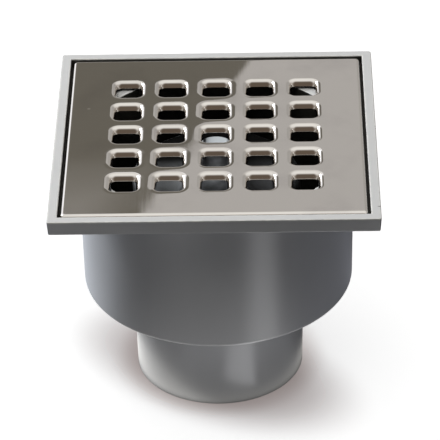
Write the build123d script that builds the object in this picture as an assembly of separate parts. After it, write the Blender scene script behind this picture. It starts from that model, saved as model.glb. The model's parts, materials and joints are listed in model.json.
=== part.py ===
from build123d import *
import os
from math import atan, cos, degrees, radians, sin, sqrt, tan

# Square floor gully with a vertical outlet: one-piece body, pressed steel grate and lift-out trap bell.
# Millimetres, +Z up. The origin lies on the outlet's axis, in the plane of the outlet's mouth.

# Frame: the square tray at the top, level with the finished floor
frame_side = 150.0
frame_lean = 0.5            # each outer side leans in by this much at the underside
frame_corner_radius = 1.2
frame_edge_break = 0.4      # small bevel along the rim's outer and inner top edges
rim_width = 4.6
tray_floor = 2.4            # the floor around the drum's mouth, on which the grate stands

# Drum: the round chamber under the frame
drum_inset = 10.3           # from the frame's side in to the drum's wall, at the underside of the frame
drum_height = 70.0          # from the frame's underside to the drum's underside
drum_wall = 2.8
drum_floor = 3.0
drum_draft = 0.6            # degrees
drum_base_bevel = 0.9

# Outlet: a socket that takes the end of a drain pipe
pipe_diameter = 75.0
pipe_clearance = 0.2        # all round
socket_wall = 2.3           # at the mouth
socket_lead_in = 0.8
outlet_length = 50.0        # from the mouth to the drum's underside, where the pipe stops
outlet_draft = 0.8          # degrees

# Standpipe: rises from the drum's floor to just under the bell's crown and sets the water level
standpipe_bore = 52.0
standpipe_wall = 2.5

# Grate: polished sheet with drawn holes and a rolled edge
sheet = 0.9
grate_height = 4.3          # from the skirt's foot, on the tray floor, to the top
grate_gap = 0.9             # between the skirt and the rim, on each side
grate_drop = 0.3            # its top lies this far below the rim's top
grate_corner_radius = 2.6
grate_edge_roll = 2.0
holes_across = 5
hole_pitch = 20.8
hole_opening = 12.0
hole_corner_radius = 2.6
hole_roll = 2.2             # radius over which the sheet turns down into a collar
collar_depth = 3.0          # from the grate's top to the collar's lower edge
hole_flats = 2              # flats that stand for the round of each hole's corner, and of its collar's
collar_flats = 1

# Bell: stands on the standpipe, with its skirt down in the water
bell_diameter = 79.0        # outside
bell_wall = 2.4
bell_drop = 16.5            # from the tray floor's top down to the crown
bell_foot_gap = 10.0        # between the skirt's foot and the drum's floor
bell_headroom = 12.0        # between the standpipe's rim and the crown's underside
bell_crown_bevel = 2.4
web_thickness = 2.0
web_reach = 12.0            # how far the webs hang down outside the standpipe
web_overlap = 2.0           # how far the webs reach in past the standpipe's bore
web_clearance = 0.4
web_count = 4
knob_diameter = 17.0
knob_clearance = 3.2        # between the knob's top and the grate's collars
knob_bevel = 0.8
gusset_height = 8.0         # beside the knob
gusset_reach = 28.0         # from the axis to the gusset's foot

# Levels and sizes that several pieces share
drum_base = outlet_length
drum_bottom = drum_base + drum_floor
drum_top = drum_base + drum_height
seat = drum_top + tray_floor
grate_top = seat + grate_height
rim_top = grate_top + grate_drop
crown = seat - bell_drop
ceiling = crown - bell_wall
weir = ceiling - bell_headroom
pocket_side = frame_side - 2 * rim_width
standpipe_radius = standpipe_bore / 2 + standpipe_wall
one_bevel = 2 - sqrt(2)     # legs of a 45 degree bevel that touches a bend of radius 1


def drum_radius(height):
    return frame_side / 2 - drum_inset - (drum_top - height) * tan(radians(drum_draft))


def turned(outline):
    # Spins a closed outline of radius and height about the Z axis
    return revolve(Plane.XZ * make_face(Polyline(outline, close=True)), Axis.Z)


def square_block(side, corner_radius, bottom, top):
    return extrude(Pos(0, 0, bottom) * RectangleRounded(side, side, corner_radius), top - bottom)


def flat_cornered_square(side, corner_radius, flats):
    # A square whose corners are a few flats each, which touch the true corner radius
    centre = side / 2 - corner_radius
    step = radians(90 / (flats + 1))
    reach = corner_radius / cos(step / 2)
    turns = [step * (flat + 0.5) for flat in range(flats + 1)]
    corner = [Vector(centre + reach * cos(turn), centre + reach * sin(turn)) for turn in turns]
    points = [point.rotate(Axis.Z, 90 * quarter) for quarter in range(4) for point in corner]
    return make_face(Polyline(points, close=True))


def hole_edge(spread):
    # The outline of one of the grate's holes, wider by the spread on every side
    return flat_cornered_square(hole_opening + 2 * spread, hole_corner_radius + spread, hole_flats)


def turned_over(outline, top, depth, taper):
    # A block that hangs down from a flat outline and narrows by the taper angle on every side
    return Pos(0, 0, top) * Rot(180, 0, 0) * extrude(outline, depth, taper=taper)


def upright_plate(outline):
    # A radial plate of the webs' thickness, standing on the XZ plane
    return extrude(Plane.XZ * make_face(Polyline(outline, close=True)), web_thickness / 2, both=True)


def make_body():
    socket_radius = pipe_diameter / 2 + pipe_clearance
    mouth_radius = socket_radius + socket_wall
    drum_bore_radius = drum_radius(drum_top) - drum_wall
    outlet_top_radius = mouth_radius + outlet_length * tan(radians(outlet_draft))

    # Tray, with sides that lean in from the rim's top to the underside
    frame_height = rim_top - drum_top
    lean_angle = degrees(atan(frame_lean / frame_height))
    rim_outline = RectangleRounded(frame_side, frame_side, frame_corner_radius)
    tray = turned_over(rim_outline, rim_top, frame_height, lean_angle)
    tray -= turned_over(Rectangle(pocket_side, pocket_side), rim_top, rim_top - seat, 0)
    tray = chamfer(tray.edges().filter_by_position(Axis.Z, rim_top, rim_top), frame_edge_break)
    tray -= Pos(0, 0, seat) * Cylinder(drum_bore_radius + drum_wall / 2, 2 * tray_floor)

    # Drum, standpipe and outlet socket, as one wall
    round_part = turned([
        (socket_radius + socket_lead_in, 0),
        (mouth_radius, 0),
        (outlet_top_radius, drum_base),
        (drum_radius(drum_base) - drum_base_bevel, drum_base),
        (drum_radius(drum_base + drum_base_bevel), drum_base + drum_base_bevel),
        (drum_radius(drum_top), drum_top),
        (drum_radius(drum_top), seat),
        (drum_bore_radius, seat),
        (drum_bore_radius, drum_bottom),
        (standpipe_radius, drum_bottom),
        (standpipe_radius, weir),
        (standpipe_bore / 2, weir),
        (standpipe_bore / 2, drum_base),
        (socket_radius, drum_base),
        (socket_radius, socket_lead_in),
    ])
    return tray + round_part


def make_grate():
    side = pocket_side - 2 * grate_gap
    underside = grate_top - sheet

    # Shell: the sheet with its edge rolled over into a skirt
    shell = square_block(side, grate_corner_radius, seat, grate_top)
    shell = fillet(shell.edges().filter_by_position(Axis.Z, grate_top, grate_top), grate_edge_roll)
    hollow = square_block(side - 2 * sheet, grate_corner_radius - sheet, seat, underside)
    inner_bend = (grate_edge_roll - sheet) * one_bevel
    shell -= chamfer(hollow.edges().filter_by_position(Axis.Z, underside, underside), inner_bend)

    # Collars: where the sheet turns down round each opening, with a bevel in the bend under it
    collar_side = hole_opening + 2 * sheet
    collar_bend = (hole_roll - sheet) * one_bevel
    bend_side = collar_side + 2 * collar_bend
    collar_radius = hole_corner_radius + sheet
    bend_edge = flat_cornered_square(bend_side, collar_radius + collar_bend, collar_flats)
    collar_edge = flat_cornered_square(collar_side, collar_radius, collar_flats)
    collar = turned_over(bend_edge, underside, collar_bend, 45)
    collar += turned_over(collar_edge, underside, collar_depth - sheet, 0)

    # Openings: the roll over the edge is two bevels that touch its true radius
    bevel_turn = 30
    roll_near = hole_roll * tan(radians(bevel_turn / 2))
    roll_far = hole_roll - roll_near
    opening = turned_over(hole_edge(roll_far), grate_top, roll_near, 2 * bevel_turn)
    opening += turned_over(hole_edge(roll_near), grate_top - roll_near, roll_far - roll_near, bevel_turn)
    opening += turned_over(hole_edge(0), grate_top - roll_far, collar_depth - roll_far, 0)

    grid = GridLocations(hole_pitch, hole_pitch, holes_across, holes_across)
    shell += [place * collar for place in grid]
    shell -= [place * opening for place in grid]
    return shell


def make_bell():
    foot = drum_bottom + bell_foot_gap
    knob_top = grate_top - collar_depth - knob_clearance
    bell_radius = bell_diameter / 2
    knob_radius = knob_diameter / 2
    core_radius = knob_radius - bell_wall

    # Bell and knob as one solid, then the hollow under the crown and the core up inside the knob
    outside = turned([
        (0, foot),
        (bell_radius, foot),
        (bell_radius, crown - bell_crown_bevel),
        (bell_radius - bell_crown_bevel, crown),
        (knob_radius, crown),
        (knob_radius, knob_top - knob_bevel),
        (knob_radius - knob_bevel, knob_top),
        (0, knob_top),
    ])
    inside = turned([
        (0, foot),
        (bell_radius - bell_wall, foot),
        (bell_radius - bell_wall, ceiling),
        (core_radius, ceiling),
        (core_radius, knob_top - bell_wall),
        (0, knob_top - bell_wall),
    ])
    bell = outside - inside

    # Webs inside: they sit on the standpipe's rim and hang down outside it to keep the bell central
    web_inner = standpipe_bore / 2 - web_overlap
    web_outline = [
        (web_inner, crown),
        (web_inner, weir),
        (standpipe_radius + web_clearance, weir),
        (standpipe_radius + web_clearance, weir - web_reach),
        (bell_radius, weir - web_reach),
        (bell_radius, crown),
    ]
    # Gussets outside: they brace the knob against the crown
    gusset_outline = [
        (core_radius, ceiling),
        (gusset_reach, ceiling),
        (gusset_reach, crown),
        (knob_radius, crown + gusset_height),
        (core_radius, crown + gusset_height),
    ]
    web = upright_plate(web_outline) & outside
    gusset = upright_plate(gusset_outline) - inside
    for turn in range(web_count):
        spin = Rot(0, 0, (turn + 0.5) * 360 / web_count)
        bell += spin * web
        bell += spin * gusset
    return bell


os.makedirs("parts", exist_ok=True)
export_step(make_body(), "parts/gully_body.step")
export_step(make_grate(), "parts/grate.step")
export_step(make_bell(), "parts/trap_bell.step")
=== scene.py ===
import json
import math
import bmesh
import bpy
import numpy as np
from mathutils import Matrix, Vector


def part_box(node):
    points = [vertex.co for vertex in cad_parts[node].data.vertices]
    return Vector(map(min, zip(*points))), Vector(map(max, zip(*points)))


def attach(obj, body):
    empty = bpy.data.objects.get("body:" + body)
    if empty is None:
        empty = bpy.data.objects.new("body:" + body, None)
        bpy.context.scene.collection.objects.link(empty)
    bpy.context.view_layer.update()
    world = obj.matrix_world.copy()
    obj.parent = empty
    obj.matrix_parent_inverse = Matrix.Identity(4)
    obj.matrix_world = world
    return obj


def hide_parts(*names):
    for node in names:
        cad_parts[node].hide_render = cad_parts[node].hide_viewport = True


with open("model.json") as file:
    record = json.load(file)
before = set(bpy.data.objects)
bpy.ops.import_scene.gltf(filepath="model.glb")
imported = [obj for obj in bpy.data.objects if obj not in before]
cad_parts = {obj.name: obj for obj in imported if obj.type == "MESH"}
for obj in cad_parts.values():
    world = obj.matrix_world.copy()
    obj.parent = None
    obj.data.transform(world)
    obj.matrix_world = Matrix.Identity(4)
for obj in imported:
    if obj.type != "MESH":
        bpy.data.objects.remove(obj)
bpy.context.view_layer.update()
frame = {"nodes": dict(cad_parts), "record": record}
mm = 0.001
print("frame loaded:", ", ".join(sorted(frame["nodes"])))

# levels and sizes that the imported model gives, in metres
mounts = {mount["name"]: mount for mount in frame["record"]["mounts"]}
bodyLow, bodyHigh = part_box("gully_body")
grateLow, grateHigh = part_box("grate")
bellLow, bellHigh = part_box("trap_bell")
floorLevel = bodyLow.z
rimTop = bodyHigh.z
undersideLevel = mounts["frame_underside"]["pos_m"][2]
socketRadius = mounts["outlet_socket"]["dims"]["r_mm"] * mm


# rings, profiles and meshes

def squareLoop(sideSteps, cornerSteps):
    # a rounded square as (half - radius) * out + radius * turn, counterclockwise from its lower right corner
    along = np.linspace(-1, 1, sideSteps, endpoint=False)
    angle = np.linspace(0, math.pi / 2, cornerSteps, endpoint=False)
    sideOut = np.stack([np.ones(sideSteps), along], -1)
    sideTurn = np.stack([np.ones(sideSteps), np.zeros(sideSteps)], -1)
    cornerOut = np.ones((cornerSteps, 2))
    cornerTurn = np.stack([np.cos(angle), np.sin(angle)], -1)
    return fourSides(np.concatenate([sideOut, cornerOut])), fourSides(np.concatenate([sideTurn, cornerTurn]))


def fourSides(side):
    # one side's points followed by the same points turned by 90, 180 and 270 degrees
    quarter = np.array([[0, 1], [-1, 0]])
    return np.concatenate([side @ np.linalg.matrix_power(quarter, turn) for turn in range(4)])


def squareRings(loop, half, radius):
    # one rounded square per entry of half and radius
    out, turn = loop
    half = np.asarray(half, float)[:, None, None]
    radius = np.asarray(radius, float)[:, None, None]
    return (half - radius) * out + radius * turn


def circleRings(count, sideSteps, radius):
    # circles whose points face the points of a square loop: the middle of a side lies at angle 0
    angle = 2 * math.pi * (np.arange(count) - sideSteps / 2) / count
    return np.asarray(radius, float)[:, None, None] * np.stack([np.cos(angle), np.sin(angle)], -1)


def lifted(flat, level):
    # rings of flat points, each ring at its own level
    height = np.broadcast_to(np.asarray(level, float)[:, None, None], flat.shape[:2] + (1,))
    return np.concatenate([flat, height], -1).reshape(-1, 3)


def roundedProfile(corners, steps, guard):
    # corners are (size, height, radius): an arc replaces each one, touching both of its sides at
    # radius / tan(half the angle between them) from the corner, with a guard point beyond each end of
    # the arc; also returns each point's corner number, and which points lie on an arc
    points = np.array([corner[:2] for corner in corners], float)
    path = []
    owner = []
    onArc = []
    for number, (_, _, radius) in enumerate(corners):
        here = points[number]
        toLast = points[number - 1] - here
        toNext = points[(number + 1) % len(points)] - here
        toLast /= np.linalg.norm(toLast)
        toNext /= np.linalg.norm(toNext)
        halfAngle = math.acos(np.clip(toLast @ toNext, -1, 1)) / 2
        if radius == 0:
            arc = here[None, :]
            arcFlags = [0]
        else:
            bisector = (toLast + toNext) / np.linalg.norm(toLast + toNext)
            centre = here + bisector * radius / math.sin(halfAngle)
            sweep = np.linspace(-1, 1, steps + 1)[:, None] * (math.pi / 2 - halfAngle)
            across = (toNext - toLast) / np.linalg.norm(toNext - toLast)
            bend = centre + radius * (across * np.sin(sweep) - bisector * np.cos(sweep))
            arc = np.concatenate([[bend[0] + toLast * guard], bend, [bend[-1] + toNext * guard]])
            arcFlags = [0] + [1] * len(bend) + [0]
        path.append(arc)
        owner += [number] * len(arc)
        onArc += arcFlags
    return np.concatenate(path), np.array(owner), np.array(onArc)


def ringFaces(rings, columns, closed):
    # quads between each ring and the next, and from the last ring back to the first where closed
    row = np.arange(rings if closed else rings - 1)[:, None]
    column = np.arange(columns)[None, :]
    nextRow = (row + 1) % rings
    nextColumn = (column + 1) % columns
    corners = [row * columns + column, row * columns + nextColumn]
    corners += [nextRow * columns + nextColumn, nextRow * columns + column]
    return np.stack(corners, -1).reshape(-1, 4)


def setShare(mesh, name, values):
    # one number for each point, which the materials read
    mesh.attributes.new(name, "FLOAT", "POINT").data.foreach_set("value", values.ravel().astype(np.float32))


def makePiece(name, parts, sharpAngle):
    # parts are (points, quads, edge wear, end faces): they are joined, points in one place are welded, and
    # normals are turned outwards
    weldStep = 1e-7
    starts = np.cumsum([0] + [len(part[0]) for part in parts])
    points = np.concatenate([part[0] for part in parts])
    wear = np.concatenate([np.broadcast_to(part[2], len(part[0])) for part in parts])
    _, first, same = np.unique(np.round(points / weldStep).astype(np.int64), axis=0, return_index=True,
                               return_inverse=True)
    same = same.reshape(-1)
    faces = same[np.concatenate([part[1] + start for part, start in zip(parts, starts)])]
    ends = [same[np.array(face) + start].tolist() for part, start in zip(parts, starts) for face in part[3]]
    # a quad with two corners in one place is a triangle there
    doubled = faces == np.roll(faces, -1, axis=1)
    quads = faces[~doubled.any(axis=1)]
    pinched = doubled.sum(axis=1) == 1
    triangles = faces[pinched][~doubled[pinched]].reshape(-1, 3)
    mesh = bpy.data.meshes.new(name)
    mesh.from_pydata(points[first].tolist(), [], quads.tolist() + triangles.tolist() + ends)
    setShare(mesh, "edgeWear", wear[first])
    tidy = bmesh.new()
    tidy.from_mesh(mesh)
    bmesh.ops.recalc_face_normals(tidy, faces=tidy.faces)
    tidy.to_mesh(mesh)
    tidy.free()
    mesh.shade_smooth()
    mesh.set_sharp_from_angle(angle=math.radians(sharpAngle))
    piece = bpy.data.objects.new(name, mesh)
    bpy.context.scene.collection.objects.link(piece)
    print(name, len(mesh.polygons), "faces")
    return piece


# each piece's values stand in a dictionary above the function that makes it, which calls them v

# moulded body: one closed profile carried round, as circles in the drum and outlet and as squares in the tray

gullyBody = {
    "frameLean": 0.5 * mm,        # the frame's sides lean in by this much at the underside
    "frameBevel": 0.4 * mm,       # the solid model's bevel, from which the sharp corner's place is found
    "frameCorner": 1.2 * mm,
    "rimWidth": 4.6 * mm,
    "rimRound": 0.45 * mm,
    "undersideRound": 0.5 * mm,
    "pocketCorner": 0.25 * mm,
    "pocketRound": 0.2 * mm,
    "drumInset": 10.3 * mm,
    "drumWall": 2.8 * mm,
    "drumBase": 50 * mm,
    "drumFloor": 3 * mm,
    "drumDraft": 0.6,             # degrees
    "baseRound": 1.6 * mm,        # on the drum's lower edge
    "rootRound": 0.6 * mm,        # where one wall grows out of another
    "mouthWall": 2.3 * mm,
    "outletDraft": 0.8,           # degrees
    "leadIn": 0.8 * mm,
    "edgeRound": 0.3 * mm,
    "standpipeBore": 26 * mm,     # radius
    "standpipeWall": 2.5 * mm,
    "weir": 91.5 * mm,            # level of the standpipe's rim
    "sideSteps": 40,
    "cornerSteps": 8,
    "arcSteps": 5,
    "guard": 0.4 * mm,            # width over which the wear fades beside each rounded edge
    "sharpAngle": 40,             # degrees
}


def moulding(v):
    # every point of the rounded profile becomes a ring, a circle of that radius or a rounded square of
    # that half side; each ring is joined to the next, and the last one to the first
    seat = grateLow.z
    half = bodyHigh.x + v["frameLean"] * v["frameBevel"] / (rimTop - undersideLevel)
    foot = half - v["frameLean"]
    pocket = half - v["rimWidth"]
    drumTop = half - v["drumInset"]
    drumFoot = drumTop - (undersideLevel - v["drumBase"]) * math.tan(math.radians(v["drumDraft"]))
    bore = drumTop - v["drumWall"]
    mouth = socketRadius + v["mouthWall"]
    outletTop = mouth + v["drumBase"] * math.tan(math.radians(v["outletDraft"]))
    standpipe = v["standpipeBore"] + v["standpipeWall"]
    small = v["edgeRound"]
    root = v["rootRound"]
    floor = v["drumBase"] + v["drumFloor"]
    circle, outer, inner = 0, 1, 2
    # size, height, radius, outline and edge wear
    corners = [
        (socketRadius + v["leadIn"], floorLevel, small, circle, 0.5),
        (mouth, floorLevel, small, circle, 0.3),
        (outletTop, v["drumBase"], root, circle, 0),
        (drumFoot, v["drumBase"], v["baseRound"], circle, 0.7),
        (drumTop, undersideLevel, root, circle, 0),
        (foot, undersideLevel, v["undersideRound"], outer, 0.6),
        (half, rimTop, v["rimRound"], outer, 1),
        (pocket, rimTop, v["rimRound"], inner, 1),
        (pocket, seat, v["pocketRound"], inner, 0),
        (bore, seat, small, circle, 0.5),
        (bore, floor, root, circle, 0),
        (standpipe, floor, root, circle, 0),
        (standpipe, v["weir"], small, circle, 0.5),
        (v["standpipeBore"], v["weir"], small, circle, 0.5),
        (v["standpipeBore"], v["drumBase"], small, circle, 0.5),
        (socketRadius, v["drumBase"], small, circle, 0),
        (socketRadius, floorLevel + v["leadIn"], small, circle, 0),
    ]
    profile, owner, onArc = roundedProfile([corner[:3] for corner in corners], v["arcSteps"], v["guard"])
    kind = np.array([corner[3] for corner in corners])[owner]
    wear = np.array([corner[4] for corner in corners])[owner] * onArc
    size, height = profile[:, 0], profile[:, 1]
    planRadius = np.where(kind == outer, v["frameCorner"] - (half - size), v["pocketCorner"])
    loop = squareLoop(v["sideSteps"], v["cornerSteps"])
    columns = len(loop[0])
    squares = squareRings(loop, size, planRadius)
    circles = circleRings(columns, v["sideSteps"], size)
    flat = np.where((kind == circle)[:, None, None], circles, squares)
    faces = ringFaces(len(size), columns, True)
    wall = (lifted(flat, height), faces, np.repeat(wear, columns), [])
    return makePiece("mouldedBody", [wall], v["sharpAngle"])


# pressed grate: a profile carried round each hole, and another round the outer edge

pressedGrate = {
    "sheet": 0.9 * mm,
    "cornerRadius": 2.6 * mm,
    "edgeRoll": 2.0 * mm,
    "holes": 5,
    "pitch": 20.8 * mm,
    "opening": 12 * mm,
    "holeCorner": 2.6 * mm,
    "holeRoll": 2.6 * mm,
    "holeLead": 1.55 * mm,        # how much farther out the roll round a hole starts, gently
    "leadPower": 8,               # the higher, the sooner the lead gives way to the roll
    "rollEase": 1.6,              # above 1, the roll's points lie closer together at its start
    "collarSlant": 21,            # degrees
    "collarDepth": 3.0 * mm,
    "cutEdge": 0.12 * mm,         # small round on the sheet's cut edges
    "flatMargin": 0.2 * mm,       # the sheet is flat again this far from a roll
    "straight": 0.9,              # share of the outer edge before its corners start to turn
    "sideSteps": 6,
    "cornerSteps": 10,
    "rollSteps": 12,
    "sharpAngle": 40,             # degrees
}


def turnedSheet(v, roll, lead, slant, depth):
    # section of the sheet where it turns down: distance from the edge's face, and height from the top; the
    # turn stops short of 90 degrees by the slant, and the lead stretches its start by
    # lead * (1 - sin angle) to the lead's power
    slant = math.radians(slant)
    angle = (math.pi / 2 - slant) * np.linspace(0, 1, v["rollSteps"] + 1) ** v["rollEase"]
    sheet, cut, margin = v["sheet"], v["cutEdge"], v["flatMargin"]
    rest = 1 - np.sin(angle)
    outside = np.stack([roll * rest + lead * rest ** v["leadPower"], roll * np.cos(angle) - roll], -1)
    bend = roll - sheet
    inside = np.stack([roll - bend * np.sin(angle), bend * np.cos(angle) - roll], -1)[::-1]
    lean = math.tan(slant)
    foot = outside[-1, 0] - (depth + outside[-1, 1]) * lean
    farFoot = foot + sheet / math.cos(slant)
    edge = [(foot + cut * lean, cut - depth), (foot + cut, -depth), (farFoot - cut, -depth),
            (farFoot + cut * lean, cut - depth)]
    return np.concatenate([[(roll + lead + margin, 0)], outside, edge, inside, [(roll + margin, -sheet)]])


def grate(v):
    # every point of the sheet's section becomes a rounded square, larger than a hole or smaller than the
    # plate by the point's distance; each ring is joined to the next
    top = grateHigh.z
    pitch = v["pitch"]
    loop = squareLoop(v["sideSteps"], v["cornerSteps"])
    columns = len(loop[0])

    # a hole in the middle of its own square cell
    section = turnedSheet(v, v["holeRoll"], v["holeLead"], v["collarSlant"], v["collarDepth"])
    rings = squareRings(loop, v["opening"] / 2 + section[:, 0], v["holeCorner"] + section[:, 0])
    reach = np.abs(rings[0]).max(axis=1, keepdims=True)
    cellEdge = rings[0] / reach * pitch / 2
    drop = np.concatenate([[0], section[:, 1], [-v["sheet"]]])
    cell = lifted(np.concatenate([cellEdge[None], rings, cellEdge[None]]), drop)
    step = (np.arange(v["holes"]) - (v["holes"] - 1) / 2) * pitch
    across, back = np.meshgrid(step, step)
    places = np.stack([across.ravel(), back.ravel(), np.full(across.size, top)], -1)
    cellFaces = ringFaces(len(drop), columns, False)
    parts = [(points, cellFaces, 0, []) for points in places[:, None, :] + cell]

    # the plate's border, from the edge of the block of cells out over the rolled edge and back underneath
    block = v["holes"] * pitch / 2
    quarter = columns // 4
    first = columns - v["cornerSteps"] // 2
    cellSide = cellEdge[(first + np.arange(quarter)) % columns, 1]
    side = (step[:, None] + cellSide).ravel() / block
    straight = v["straight"]
    angle = np.clip((np.abs(side) - straight) / (1 - straight), 0, 1) * math.pi / 4
    out = np.stack([np.ones(len(side)), np.clip(side / straight, -1, 1)], -1)
    turn = np.stack([np.cos(angle), np.sin(angle) * np.sign(side)], -1)
    section = turnedSheet(v, v["edgeRoll"], 0, 0, top - grateLow.z)
    outline = (fourSides(out), fourSides(turn))
    rings = squareRings(outline, grateHigh.x - section[:, 0], v["cornerRadius"] - section[:, 0])
    blockEdge = fourSides(np.stack([np.ones(len(side)), side], -1)) * block
    flat = np.concatenate([blockEdge[None], rings, blockEdge[None]])
    level = top + np.concatenate([[0], section[:, 1], [-v["sheet"]]])
    parts.append((lifted(flat, level), ringFaces(len(level), flat.shape[1], False), 0, []))
    return makePiece("pressedGratePlate", parts, v["sharpAngle"])


# trap bell: a turned shell with a knob, and upright plates inside and outside it

trapBell = {
    "wall": 2.4 * mm,
    "crown": 105.9 * mm,          # level of its flat top
    "crownRound": 3.2 * mm,
    "knobRadius": 8.5 * mm,
    "knobRound": 1.0 * mm,
    "rootRound": 0.6 * mm,
    "edgeRound": 0.3 * mm,
    "webThickness": 2 * mm,
    "webReach": 12 * mm,
    "webInner": 24 * mm,
    "webOuter": 28.9 * mm,        # the webs hang down outside the standpipe from here
    "gussetHeight": 8 * mm,
    "gussetReach": 28 * mm,
    "sink": 0.5 * mm,             # how far the plates go into the walls that carry them
    "plates": 4,
    "steps": 128,
    "arcSteps": 5,
    "guard": 0.4 * mm,            # distance from each rounded edge to the next ring of points
    "sharpAngle": 40,             # degrees
}


def uprightPlate(outline, thickness, turn):
    # a flat outline of radius and height, with two parallel faces, turned about the axis
    count = len(outline)
    radius, height = np.array(outline, float).T
    sides = np.array([-0.5, 0.5])[:, None] * thickness
    points = np.stack(np.broadcast_arrays(radius, sides, height), -1).reshape(-1, 3)
    spin = np.array(Matrix.Rotation(turn, 3, "Z"))
    ends = [list(range(count)), list(range(count, 2 * count))]
    return points @ spin.T, ringFaces(2, count, False), 0, ends


def bell(v):
    # every point of the rounded profile becomes a circle of that radius, from the knob's top to its core
    foot, knobTop = bellLow.z, bellHigh.z
    radius = bellHigh.x
    inside = radius - v["wall"]
    crown = v["crown"]
    ceiling = crown - v["wall"]
    core = v["knobRadius"] - v["wall"]
    coreTop = knobTop - v["wall"]
    weir = gullyBody["weir"]
    small = v["edgeRound"]
    corners = [
        (0, knobTop, 0),
        (v["knobRadius"], knobTop, v["knobRound"]),
        (v["knobRadius"], crown, v["rootRound"]),
        (radius, crown, v["crownRound"]),
        (radius, foot, small),
        (inside, foot, small),
        (inside, ceiling, v["rootRound"]),
        (core, ceiling, v["rootRound"]),
        (core, coreTop, v["rootRound"]),
        (0, coreTop, 0),
    ]
    profile = roundedProfile(corners, v["arcSteps"], v["guard"])[0]
    shell = lifted(circleRings(v["steps"], 0, profile[:, 0]), profile[:, 1])
    parts = [(shell, ringFaces(len(profile), v["steps"], False), 0, [])]
    webTop = ceiling + v["sink"]
    webOutside = inside + v["sink"]
    webFoot = weir - v["webReach"]
    web = [(v["webInner"], webTop), (v["webInner"], weir), (v["webOuter"], weir),
           (v["webOuter"], webFoot), (webOutside, webFoot), (webOutside, webTop)]
    gussetRoot = v["knobRadius"] - v["sink"]
    gussetTop = crown + v["gussetHeight"]
    gussetFoot = crown - v["sink"]
    gusset = [(gussetRoot, gussetFoot), (v["gussetReach"], gussetFoot), (v["gussetReach"], crown),
              (v["knobRadius"], gussetTop), (gussetRoot, gussetTop)]
    for number in range(v["plates"]):
        turn = (number + 0.5) * 2 * math.pi / v["plates"]
        parts.append(uprightPlate(web, v["webThickness"], turn))
        parts.append(uprightPlate(gusset, v["webThickness"], turn))
    return makePiece("bellWithKnob", parts, v["sharpAngle"])


bodyPiece = moulding(gullyBody)
gratePiece = grate(pressedGrate)
bellPiece = bell(trapBell)


# materials

class Nodes:
    # the node tree of a material or a world, filled from left to right
    def __init__(self, owner, coords="Object"):
        owner.use_nodes = True
        self.owner = owner
        self.tree = owner.node_tree
        self.tree.nodes.clear()
        self.coords = self.add("ShaderNodeTexCoord").outputs[coords]

    def add(self, kind, settings=None, **inputs):
        node = self.tree.nodes.new(kind)
        for key, value in (settings or {}).items():
            setattr(node, key, value)
        for key, value in inputs.items():
            self.put(node.inputs[key.replace("_", " ")], value)
        return node

    def put(self, socket, value):
        if isinstance(value, bpy.types.NodeSocket):
            self.tree.links.new(value, socket)
        else:
            socket.default_value = (*value, 1) if socket.type == "RGBA" else value

    def noise(self, scale, detail, stretch=(1, 1, 1)):
        place = self.add("ShaderNodeMapping", Vector=self.coords, Scale=stretch).outputs[0]
        return self.add("ShaderNodeTexNoise", Vector=place, Scale=scale, Detail=detail).outputs[0]

    def spread(self, value, low, high, start, end):
        # carries the range low to high over to start to end, levelling off at both ends
        node = self.add("ShaderNodeMapRange", {"interpolation_type": "SMOOTHSTEP"}, Value=value, From_Min=low,
                        From_Max=high, To_Min=start, To_Max=end)
        return node.outputs[0]

    def calc(self, operation, first, second=0):
        node = self.add("ShaderNodeMath", {"operation": operation})
        self.put(node.inputs[0], first)
        self.put(node.inputs[1], second)
        return node.outputs[0]

    def vector(self, operation, first, second=(0, 0, 0)):
        node = self.add("ShaderNodeVectorMath", {"operation": operation})
        self.put(node.inputs[0], first)
        self.put(node.inputs[1], second)
        return node.outputs

    def split(self):
        return self.add("ShaderNodeSeparateXYZ", Vector=self.coords).outputs

    def blend(self, share, first, second, kind="MIX"):
        # colours only: the colour sockets of the node are its inputs 6 and 7 and its output 2
        node = self.add("ShaderNodeMix", {"data_type": "RGBA", "blend_type": kind})
        self.put(node.inputs[0], share)
        self.put(node.inputs[6], first)
        self.put(node.inputs[7], second)
        return node.outputs[2]

    def band(self, value, low, high, edge):
        # 1 between low and high, with a soft edge at both
        return self.calc("MULTIPLY", self.spread(value, low - edge, low + edge, 0, 1),
                         self.spread(value, high - edge, high + edge, 1, 0))

    def distance(self, place):
        return self.vector("DISTANCE", self.coords, place)["Value"]

    def fromAxis(self, x, y):
        # distance from the upright axis
        return self.calc("SQRT", self.calc("ADD", self.calc("MULTIPLY", x, x), self.calc("MULTIPLY", y, y)))

    def spot(self, place, size, stretch=(1, 1, 1)):
        # place and size in millimetres: 1 out to the solid share of the size, fading to 0 at the size
        solid = 0.4
        offset = self.vector("SUBTRACT", self.coords, [part * mm for part in place])["Vector"]
        length = self.vector("LENGTH", self.vector("MULTIPLY", offset, stretch)["Vector"])["Value"]
        return self.spread(length, solid * size * mm, size * mm, 1, 0)

    def bump(self, height, depth, under=None):
        node = self.add("ShaderNodeBump", Height=height, Distance=depth)
        if under:
            self.put(node.inputs["Normal"], under)
        return node.outputs[0]

    def finished(self, shader, kind="Material"):
        self.add("ShaderNodeOutput" + kind, Surface=shader.outputs[0])
        return self.owner


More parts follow.
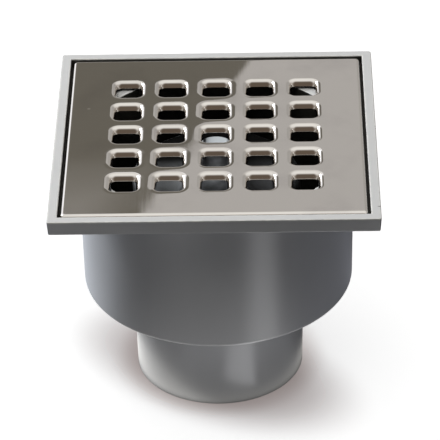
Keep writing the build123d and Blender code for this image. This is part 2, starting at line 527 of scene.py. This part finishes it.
greyPlastic = {
    "colour": (0.43, 0.433, 0.44),
    "paleEdge": (0.56, 0.56, 0.54),
    "mottle": 0.015,              # share by which the colour varies
    "roughness": (0.285, 0.315),
    "gloss": 0.5,
    "grain": 0.003 * mm,          # depth of the fine grain, and of the slow ripple under it
    "ripple": 0.006 * mm,
    "paintedShade": (0.022, 0.021, 0.018),  # painted shade, in the gap round the grate and inside the drum
    "shadeGap": 1.0 * mm,          # width of the painted shade on the tray's floor, beside the rim
    "rimUnshaded": 0.5 * mm,         # height of the rim's wall that the painted shade leaves out
    "shadeEdge": 0.15 * mm,        # how softly the painted shade ends
    "marks": [                    # place and size in millimetres, stretch, colour
        ((74.6, -64.6, 127.0), 1.6, (1, 3.5, 1), (0.05, 0.05, 0.05)),
        ((75.0, 4.6, 127.0), 0.7, (1, 1, 1), (0.06, 0.06, 0.06)),
        ((75.0, 2.6, 127.0), 0.6, (1, 1, 1), (0.06, 0.06, 0.06)),
        ((51.0, -39.8, 118.0), 0.9, (1, 1, 1), (0.03, 0.03, 0.03)),
        ((54.3, -35.2, 117.2), 1.8, (1, 1, 1), (0.75, 0.75, 0.76)),
    ],
}


def bodyPatches(nodes):
    # colours that lie over the body's plastic: painted shade in the gap round the grate and inside the drum,
    # then single marks
    v = greyPlastic
    x, y, z = nodes.split()
    across = nodes.calc("MAXIMUM", nodes.calc("ABSOLUTE", x), nodes.calc("ABSOLUTE", y))
    radius = nodes.fromAxis(x, y)
    edge = v["shadeEdge"]
    seat = grateLow.z
    pocket = bodyHigh.x - gullyBody["rimWidth"]
    bore = bodyHigh.x - gullyBody["drumInset"] - gullyBody["drumWall"]
    inDrum = nodes.calc("MULTIPLY", nodes.spread(radius, bore, bore + 4 * edge, 1, 0),
                        nodes.band(z, gullyBody["drumBase"] + edge, seat - 2 * edge, edge))
    inGap = nodes.calc("MULTIPLY", nodes.band(across, pocket - v["shadeGap"], pocket + 2 * edge, edge),
                       nodes.band(z, seat - edge, rimTop - v["rimUnshaded"], edge))
    # painted shade: darker inside the drum and in the gap round the grate
    patches = [(nodes.calc("MAXIMUM", inDrum, inGap), v["paintedShade"])]
    patches += [(nodes.spot(place, size, stretch), colour) for place, size, stretch, colour in v["marks"]]
    return patches


bellPlastic = {
    "colour": (0.33, 0.34, 0.35),
    "paleEdge": (0.60, 0.61, 0.61),
    "mottle": 0.015,
    "roughness": (0.32, 0.36),
    "gloss": 0.2,
    "grain": 0.003 * mm,
    "ripple": 0.006 * mm,
    "paintedLight": (0.56, 0.59, 0.605),  # painted light on the knob's top, as a strip from front to back
    "paintedLightDepth": 1.2 * mm,      # down from the knob's top
    "paintedLightSides": (-4.5 * mm, 5.4 * mm),
    "paintedEdge": 0.4 * mm,       # how softly the painted light ends; also the painted far shade at its reach from the axis
    "paintedShade": (0.05, 0.05, 0.052),  # painted shade on the rest of the bell, most at its right
    "shadeShare": (0.0, 0.85),     # least and most of it
    "shadeClouds": (70, 3),        # scale and detail of the noise that breaks it up
    "shadeLean": 14,               # how fast it grows to the right, per metre
    "shadeEdge": (0.22, 0.55),     # sums of noise and lean between which it grows
    "farShade": (0.004, 0.004, 0.004),  # painted shade on the far part of the bell, inside its edge
    "farShadeEdge": (2 * mm, 12 * mm),  # from front to back, where it grows
    "farShadeReach": 37.5 * mm,       # from the axis
}


def bellPatches(nodes):
    # colours that lie over the bell's plastic: painted shade growing to the right, then painted shade on its
    # far part, then painted light in a strip on the knob's top
    v = bellPlastic
    x, y, z = nodes.split()
    # painted light: a pale strip on the knob's top
    top = nodes.spread(z, bellHigh.z - v["paintedLightDepth"], bellHigh.z, 0, 1)
    strip = nodes.band(x, *v["paintedLightSides"], v["paintedEdge"])
    # painted shade on the bell, growing to the right and broken up by noise
    cloud = nodes.calc("ADD", nodes.noise(*v["shadeClouds"]), nodes.calc("MULTIPLY", x, v["shadeLean"]))
    shaded = nodes.spread(cloud, *v["shadeEdge"], *v["shadeShare"])
    # painted shade on the far part of the bell, inside its edge
    inside = nodes.spread(nodes.fromAxis(x, y), v["farShadeReach"], v["farShadeReach"] + v["paintedEdge"], 1, 0)
    farShaded = nodes.calc("MULTIPLY", inside, nodes.spread(y, *v["farShadeEdge"], 0, 1))
    return [(shaded, v["paintedShade"]), (farShaded, v["farShade"]), (nodes.calc("MULTIPLY", top, strip), v["paintedLight"])]


plasticTexture = {                # shared by both plastics; noise is scale, detail and stretch
    "cloud": (45, 4),
    "streak": (160, 3, (1, 1, 0.06)),
    "speck": (1500, 2),
    "chip": (260, 3),
    "swell": (110, 2),
    "cloudShare": 0.6,            # of the mottle, where streaks make the rest
    "speckShare": 0.2,            # of the roughness
    "noiseRange": (0.35, 0.65),   # most of the noise lies between these
    "roughRange": (0.4, 0.8),
    "wornShare": (0.15, 0.75),    # least and most of the pale edges
    "patchRoughness": 0.6,        # of the patches: painted shade, painted light and marks
}


def plasticFinish(name, v, patches):
    nodes = Nodes(bpy.data.materials.new(name))
    texture = plasticTexture
    cloud = nodes.calc("MULTIPLY", nodes.noise(*texture["cloud"]), texture["cloudShare"])
    streak = nodes.calc("MULTIPLY", nodes.noise(*texture["streak"]), 1 - texture["cloudShare"])
    speck = nodes.noise(*texture["speck"])
    mixed = nodes.calc("ADD", cloud, streak)
    dark, light = (tuple(part * (1 + side * v["mottle"]) for part in v["colour"]) for side in (-1, 1))
    colour = nodes.blend(nodes.spread(mixed, *texture["noiseRange"], 0, 1), dark, light)
    wear = nodes.add("ShaderNodeAttribute", {"attribute_name": "edgeWear"}).outputs["Fac"]
    chips = nodes.spread(nodes.noise(*texture["chip"]), *texture["noiseRange"], *texture["wornShare"])
    colour = nodes.blend(nodes.calc("MULTIPLY", wear, chips), colour, v["paleEdge"])
    uneven = nodes.calc("ADD", mixed, nodes.calc("MULTIPLY", speck, texture["speckShare"]))
    roughness = nodes.spread(uneven, *texture["roughRange"], *v["roughness"])
    for mask, tone in patches(nodes):
        colour = nodes.blend(mask, colour, tone)
        dull = nodes.calc("MULTIPLY", mask, texture["patchRoughness"])
        roughness = nodes.calc("MAXIMUM", roughness, dull)
    normal = nodes.bump(nodes.noise(*texture["swell"]), v["ripple"])
    normal = nodes.bump(speck, v["grain"], normal)
    shader = nodes.add("ShaderNodeBsdfPrincipled", Base_Color=colour, Roughness=roughness, Normal=normal,
                       Specular_IOR_Level=v["gloss"])
    return nodes.finished(shader)


polishedSteel = {
    "colour": (0.63, 0.61, 0.585),
    "smudged": (0.57, 0.55, 0.53),
    "roughness": (0.025, 0.08),
    "waves": 0.10 * mm,           # depth of the sheet's slow unevenness
    "scratches": 0.0015 * mm,
    "speck": ((-60, 24, 126.7), 1.1, (0.85, 0.84, 0.83)),  # place and size in millimetres, colour
    "smudge": (38, 5),            # noise: scale, detail and stretch
    "hairline": (1100, 2, (1, 0.03, 1)),
    "unevenness": (26, 1),
    "smudgeRange": (0.45, 0.75),  # of the noise, where smudges grow
    "hairlineShare": 0.4,         # of the roughness
    "roughRange": (0.5, 0.95),
}


def steelFinish(v):
    nodes = Nodes(bpy.data.materials.new("polishedSteel"))
    smudge = nodes.noise(*v["smudge"])
    hairline = nodes.noise(*v["hairline"])
    colour = nodes.blend(nodes.spread(smudge, *v["smudgeRange"], 0, 1), v["colour"], v["smudged"])
    place, size, tone = v["speck"]
    colour = nodes.blend(nodes.spot(place, size), colour, tone)
    uneven = nodes.calc("ADD", smudge, nodes.calc("MULTIPLY", hairline, v["hairlineShare"]))
    roughness = nodes.spread(uneven, *v["roughRange"], *v["roughness"])
    normal = nodes.bump(nodes.noise(*v["unevenness"]), v["waves"])
    normal = nodes.bump(hairline, v["scratches"], normal)
    shader = nodes.add("ShaderNodeBsdfPrincipled", Base_Color=colour, Metallic=1.0, Roughness=roughness,
                       Normal=normal)
    return nodes.finished(shader)


def dress(piece, material, node):
    piece.data.materials.append(material)
    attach(piece, "root")
    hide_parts(node)


dress(bodyPiece, plasticFinish("greyPlastic", greyPlastic, bodyPatches), "gully_body")
dress(gratePiece, steelFinish(polishedSteel), "grate")
dress(bellPiece, plasticFinish("bellPlastic", bellPlastic, bellPatches), "trap_bell")
print("materials on")

# stage: floor, camera, light and the cards that the polished surfaces reflect

stageFloor = {                    # metres
    "half": 3.0,                  # half its side
    "seen": (0.95, 0.95, 0.945),  # as the camera sees it
    "glow": 0.60,                 # plain white that lightens the shadow
    "contact": (-0.003, -0.009, 0),  # middle of the painted shade round the outlet's foot
    "contactTurn": -35,           # degrees
    "contactSize": (0.091, 0.049),  # half its length and width
    "contactEdge": (0.45, 1.0),   # shares of them between which it fades
    "contactShade": (0.46, 0.425, 0.42),
    "footReach": (0.039, 0.054),  # from the outlet's foot outwards, where the painted shade is deeper still
    "footShade": (0.74, 0.70, 0.69),
    "far": (0.06, 0.06, 0.062),   # as it lights the object, beyond the sheets below
    "sheets": [                   # middle, distances over which it fades, and brightness; each over the last
        ((0.02, -0.04, 0), (0.08, 0.16), (0.78, 0.78, 0.80)),
        ((-0.15, -0.30, 0), (0.06, 0.15), (1.3, 1.3, 1.32)),
        ((-0.17, 0.07, 0), (0.07, 0.15), (0.88, 0.94, 1.05)),
        ((0.17, 0.0, 0), (0.08, 0.15), (0.31, 0.32, 0.36)),
        ((0, 0, 0), (0.060, 0.080), (0.32, 0.32, 0.32)),
        ((0.075, 0.02, 0), (0.02, 0.045), (0.06, 0.06, 0.06)),
        ((0, 0, 0), (0.041, 0.052), (0.88, 0.86, 0.82)),
        ((-0.068, -0.045, 0), (0.020, 0.034), (0.15, 0.15, 0.16)),
        ((-0.020, -0.005, 0), (0.035, 0.044), (1.7, 1.67, 1.6)),
        ((0, 0, 0), (0.0395, 0.0435), (0.08, 0.078, 0.075)),
    ],
}


def stageSheet(name, points, faces, material):
    mesh = bpy.data.meshes.new(name)
    mesh.from_pydata(points, [], faces)
    mesh.materials.append(material)
    sheet = bpy.data.objects.new(name, mesh)
    bpy.context.scene.collection.objects.link(sheet)
    return sheet


def floorStage(v):
    # the camera sees plain paper with a painted shade round the outlet's foot; everything else sees the
    # glowing sheets
    nodes = Nodes(bpy.data.materials.new("floorPaper"))
    direct = nodes.add("ShaderNodeLightPath").outputs["Is Camera Ray"]
    unseen = v["far"]
    for middle, edge, colour in v["sheets"]:
        unseen = nodes.blend(nodes.spread(nodes.distance(middle), *edge, 1, 0), unseen, colour)
    turn = (0, 0, math.radians(v["contactTurn"]))
    oval = nodes.add("ShaderNodeMapping", {"vector_type": "TEXTURE"}, Vector=nodes.coords,
                     Location=v["contact"], Rotation=turn, Scale=(*v["contactSize"], 1)).outputs[0]
    apart = nodes.vector("LENGTH", oval)["Value"]
    shade = nodes.blend(nodes.spread(apart, *v["contactEdge"], 1, 0), (1, 1, 1), v["contactShade"])
    foot = nodes.spread(nodes.distance((0, 0, 0)), *v["footReach"], 1, 0)
    shade = nodes.blend(foot, shade, v["footShade"], "MULTIPLY")
    seen = nodes.blend(1, shade, v["seen"], "MULTIPLY")
    paper = nodes.add("ShaderNodeBsdfDiffuse", Color=seen)
    white = nodes.add("ShaderNodeEmission", Color=shade, Strength=v["glow"])
    shown = nodes.add("ShaderNodeAddShader")
    nodes.put(shown.inputs[0], paper.outputs[0])
    nodes.put(shown.inputs[1], white.outputs[0])
    lit = nodes.add("ShaderNodeEmission", Color=unseen)
    both = nodes.add("ShaderNodeMixShader", Fac=direct)
    nodes.put(both.inputs[1], lit.outputs[0])
    nodes.put(both.inputs[2], shown.outputs[0])
    square = ((-1, -1), (1, -1), (1, 1), (-1, 1))
    corners = [(x * v["half"], y * v["half"], floorLevel) for x, y in square]
    return stageSheet("floor", corners, [(0, 1, 2, 3)], nodes.finished(both))


viewpoint = {
    "azimuth": 1.18,              # degrees
    "elevation": 31.44,
    "distance": 1.465,            # from the middle of the rim's top
    "aim": (1.3 * mm, 0, 78.7 * mm),
    "roll": -1.31,
    "lens": 257.0,                # millimetres, as the sensor's width is
    "sensor": 36.0,
    "clip": (0.05, 50),
}


def photoCamera(v):
    azimuth, elevation = math.radians(v["azimuth"]), math.radians(v["elevation"])
    level = math.cos(elevation)
    back = Vector((math.sin(azimuth) * level, -math.cos(azimuth) * level, math.sin(elevation)))
    data = bpy.data.cameras.new("photoCamera")
    data.lens = v["lens"]
    data.sensor_width = v["sensor"]
    data.clip_start, data.clip_end = v["clip"]
    camera = bpy.data.objects.new("photoCamera", data)
    camera.location = Vector((0, 0, rimTop)) + back * v["distance"]
    look = (Vector(v["aim"]) - camera.location).to_track_quat("-Z", "Y")
    camera.rotation_mode = "QUATERNION"
    camera.rotation_quaternion = look @ Matrix.Rotation(math.radians(v["roll"]), 3, "Z").to_quaternion()
    bpy.context.scene.collection.objects.link(camera)
    bpy.context.scene.camera = camera
    return np.array(camera.location)


studioLight = {                   # lamps: metres, watts, colour, and whether reflections show them
    "overhead": {"place": (-0.20, -0.12, 1.5), "size": 1.0, "power": 17.0,
                 "colour": (1.0, 0.98, 0.925), "mirrored": False},
    "key": {"place": (-0.93, 0.65, 0.92), "size": 0.5, "power": 21.0,
            "colour": (0.96, 0.98, 1.0), "mirrored": True},
    "floorLamp": {"place": (-0.20, 0.0, 1.6), "size": 4.0, "power": 44.0,
                  "colour": (1.0, 1.0, 1.0), "mirrored": False},
    "bellLamp": {"place": (-0.45, -0.85, 1.0), "size": 1.0, "power": 27.0,
                 "colour": (0.96, 0.98, 1.0), "mirrored": False},
    "ambient": (0.03, 0.03, 0.03),  # light from all round
    "horizon": (0.33, 0.27, 0.22),  # what polished surfaces see of the studio, from level to straight up
    "zenith": (1.20, 1.18, 1.14),
    "patches": [                  # single parts of it: direction, cosines of the outer and inner edge, colour
        ((0.50, 0.83, 0.24), (0.75, 0.93), (0.54, 0.52, 0.495)),
        ((-0.45, 0.85, 0.25), (0.80, 0.92), (1.45, 1.45, 1.5)),
        ((0, -1, 0.10), (0.35, 0.92), (0.17, 0.13, 0.10)),
        ((0.97, -0.12, 0.12), (0.984, 0.995), (1.6, 1.55, 1.5)),
        ((0, 1, 0.12), (0.955, 0.99), (0.30, 0.27, 0.25)),
    ],
}


def softbox(name, v, aim):
    light = bpy.data.lights.new(name, "AREA")
    light.shape = "SQUARE"
    light.size = v["size"]
    light.energy = v["power"]
    light.color = v["colour"]
    lamp = bpy.data.objects.new(name, light)
    lamp.location = v["place"]
    lamp.rotation_euler = (Vector(aim) - Vector(v["place"])).to_track_quat("-Z", "Y").to_euler()
    lamp.visible_glossy = v["mirrored"]
    lamp.visible_camera = False
    bpy.context.scene.collection.objects.link(lamp)
    return lamp


def linkLight(lamp, receivers, state):
    # the lamp lights the receivers and nothing else with INCLUDE, everything but the receivers with EXCLUDE
    linked = bpy.data.collections.new(lamp.name + "Linked")
    lamp.light_linking.receiver_collection = linked
    for receiver in receivers:
        linked.objects.link(receiver)
    for entry in linked.collection_objects:
        entry.light_linking.link_state = state


def surroundings(v):
    # the camera sees white, reflections see the studio and its patches, and the rest is an even dim light
    nodes = Nodes(bpy.data.worlds.new("studio"), "Generated")
    height = nodes.split()["Z"]
    studio = nodes.blend(nodes.spread(height, 0, 1, 0, 1), v["horizon"], v["zenith"])
    for towards, cosines, colour in v["patches"]:
        facing = nodes.vector("DOT_PRODUCT", nodes.coords, Vector(towards).normalized())["Value"]
        studio = nodes.blend(nodes.spread(facing, *cosines, 0, 1), studio, colour)
    path = nodes.add("ShaderNodeLightPath")
    shade = nodes.blend(path.outputs["Is Glossy Ray"], v["ambient"], studio)
    shade = nodes.blend(path.outputs["Is Camera Ray"], shade, (1, 1, 1))
    sky = nodes.add("ShaderNodeBackground", Color=shade)
    bpy.context.scene.world = nodes.finished(sky, "World")


def reflectedCard(name, grid, shade, first, second):
    # a lit sheet that only reflections show; shade is 0 where it has the first colour and 1 where the second
    rows, columns = shade.shape
    nodes = Nodes(bpy.data.materials.new(name))
    share = nodes.add("ShaderNodeAttribute", {"attribute_name": "shade"}).outputs["Fac"]
    glow = nodes.add("ShaderNodeEmission", Color=nodes.blend(share, first, second))
    start = (np.arange(rows - 1)[:, None] * columns + np.arange(columns - 1)[None, :]).ravel()
    faces = np.stack([start, start + 1, start + columns + 1, start + columns], -1)
    card = stageSheet(name, grid.reshape(-1, 3).tolist(), faces.tolist(), nodes.finished(glow))
    setShare(card.data, "shade", shade)
    card.visible_camera = card.visible_diffuse = card.visible_shadow = card.visible_transmission = False


steelCard = {
    "distance": 0.5,              # behind the grate, along the reflected view
    "dark": (0.196, 0.182, 0.154),
    "light": (0.625, 0.605, 0.585),
    "back": (13.7 * mm, 61 * mm),  # where the border between them shows on the grate
    "front": (-35.3 * mm, -73 * mm),
    "blur": 1.5 * mm,             # half the width over which they change there
    "reach": 85 * mm,             # from the grate's middle, as far as the two colours go
    "frontLeft": 0.50,            # share of the light colour in the near left corner
    "frontDepth": 0.4,            # how deep that corner is, as a share of the grate
    "rise": 400 * mm,             # the card goes on upwards as far as this, and grows light there
    "riseLight": 1.0,             # share of the light colour at its upper end
    "wing": 70 * mm,              # the card goes on to the left by this much
    "wingLight": 1.0,             # share of the light colour at its left end
}


def cardBehind(v, eye):
    # the card's points are points of the grate's plane, carried along the rays of the mirrored camera,
    # so that each part of it shows where it is written
    top = grateHigh.z
    mirrored = eye * (1, 1, -1) + (0, 0, 2 * top)
    middle = np.array((0, 0, top))
    ray = (middle - mirrored) / np.linalg.norm(middle - mirrored)
    (backX, backY), (frontX, frontY) = v["back"], v["front"]
    reach = v["reach"]
    y = np.array([-reach, reach * (2 * v["frontDepth"] - 1), reach, v["rise"]])
    border = frontX + (np.minimum(y, reach) - frontY) * (backX - frontX) / (backY - frontY)
    side = np.full(4, reach)
    x = np.stack([-side - v["wing"], -side, border - v["blur"], border + v["blur"], side], -1)
    plane = np.stack([x, np.broadcast_to(y[:, None], x.shape), np.full(x.shape, top)], -1)
    stretch = ((middle - mirrored) @ ray + v["distance"]) / ((plane - mirrored) @ ray)
    grid = mirrored + (plane - mirrored) * stretch[..., None]
    left, far, wing = v["frontLeft"], v["riseLight"], v["wingLight"]
    shade = np.array([[wing, left, 0, 1, 1], [wing, 0, 0, 1, 1], [wing, 0, 0, 1, 1], [far, far, far, 1, 1]])
    reflectedCard("steelCard", grid, shade, v["dark"], v["light"])


floorStrip = {
    "near": (14 * mm, -52 * mm),  # the middle of its ends
    "far": (201 * mm, -279 * mm),
    "width": (28 * mm, 95 * mm),  # at the near end and at the far one
    "rise": 1 * mm,               # above the floor
    "bright": (3.0, 3.0, 3.05),   # at the near end
    "faint": (0.6, 0.6, 0.6),     # at the far end
    "faintMiddle": 0.35,          # share of the faint colour halfway
}


def brightStrip(v):
    # a bright strip of floor, reflected as the soft upright band on the drum and the outlet
    near, far = np.array(v["near"]), np.array(v["far"])
    along = (far - near) / np.linalg.norm(far - near)
    share = np.linspace(0, 1, 3)[:, None, None]
    nearWidth, farWidth = v["width"]
    half = np.array([-0.5, 0.5])[None, :, None] * (nearWidth + share * (farWidth - nearWidth))
    flat = near + share * (far - near) + half * (-along[1], along[0])
    grid = np.concatenate([flat, np.full((3, 2, 1), floorLevel + v["rise"])], -1)
    shade = np.repeat([[0], [v["faintMiddle"]], [1]], 2, axis=1)
    reflectedCard("floorStrip", grid, shade, v["bright"], v["faint"])


paper = floorStage(stageFloor)
eye = photoCamera(viewpoint)
middle = (0, 0, rimTop / 2)       # what the lamps point at
links = {
    "overhead": ([paper, bellPiece], "EXCLUDE"),
    "key": ([paper, bellPiece], "EXCLUDE"),
    "floorLamp": ([paper], "INCLUDE"),
    "bellLamp": ([bellPiece], "INCLUDE"),
}
for name, (receivers, state) in links.items():
    linkLight(softbox(name, studioLight[name], middle), receivers, state)
surroundings(studioLight)
cardBehind(steelCard, eye)
brightStrip(floorStrip)
bpy.context.scene.view_settings.view_transform = "Standard"
print("stage set")
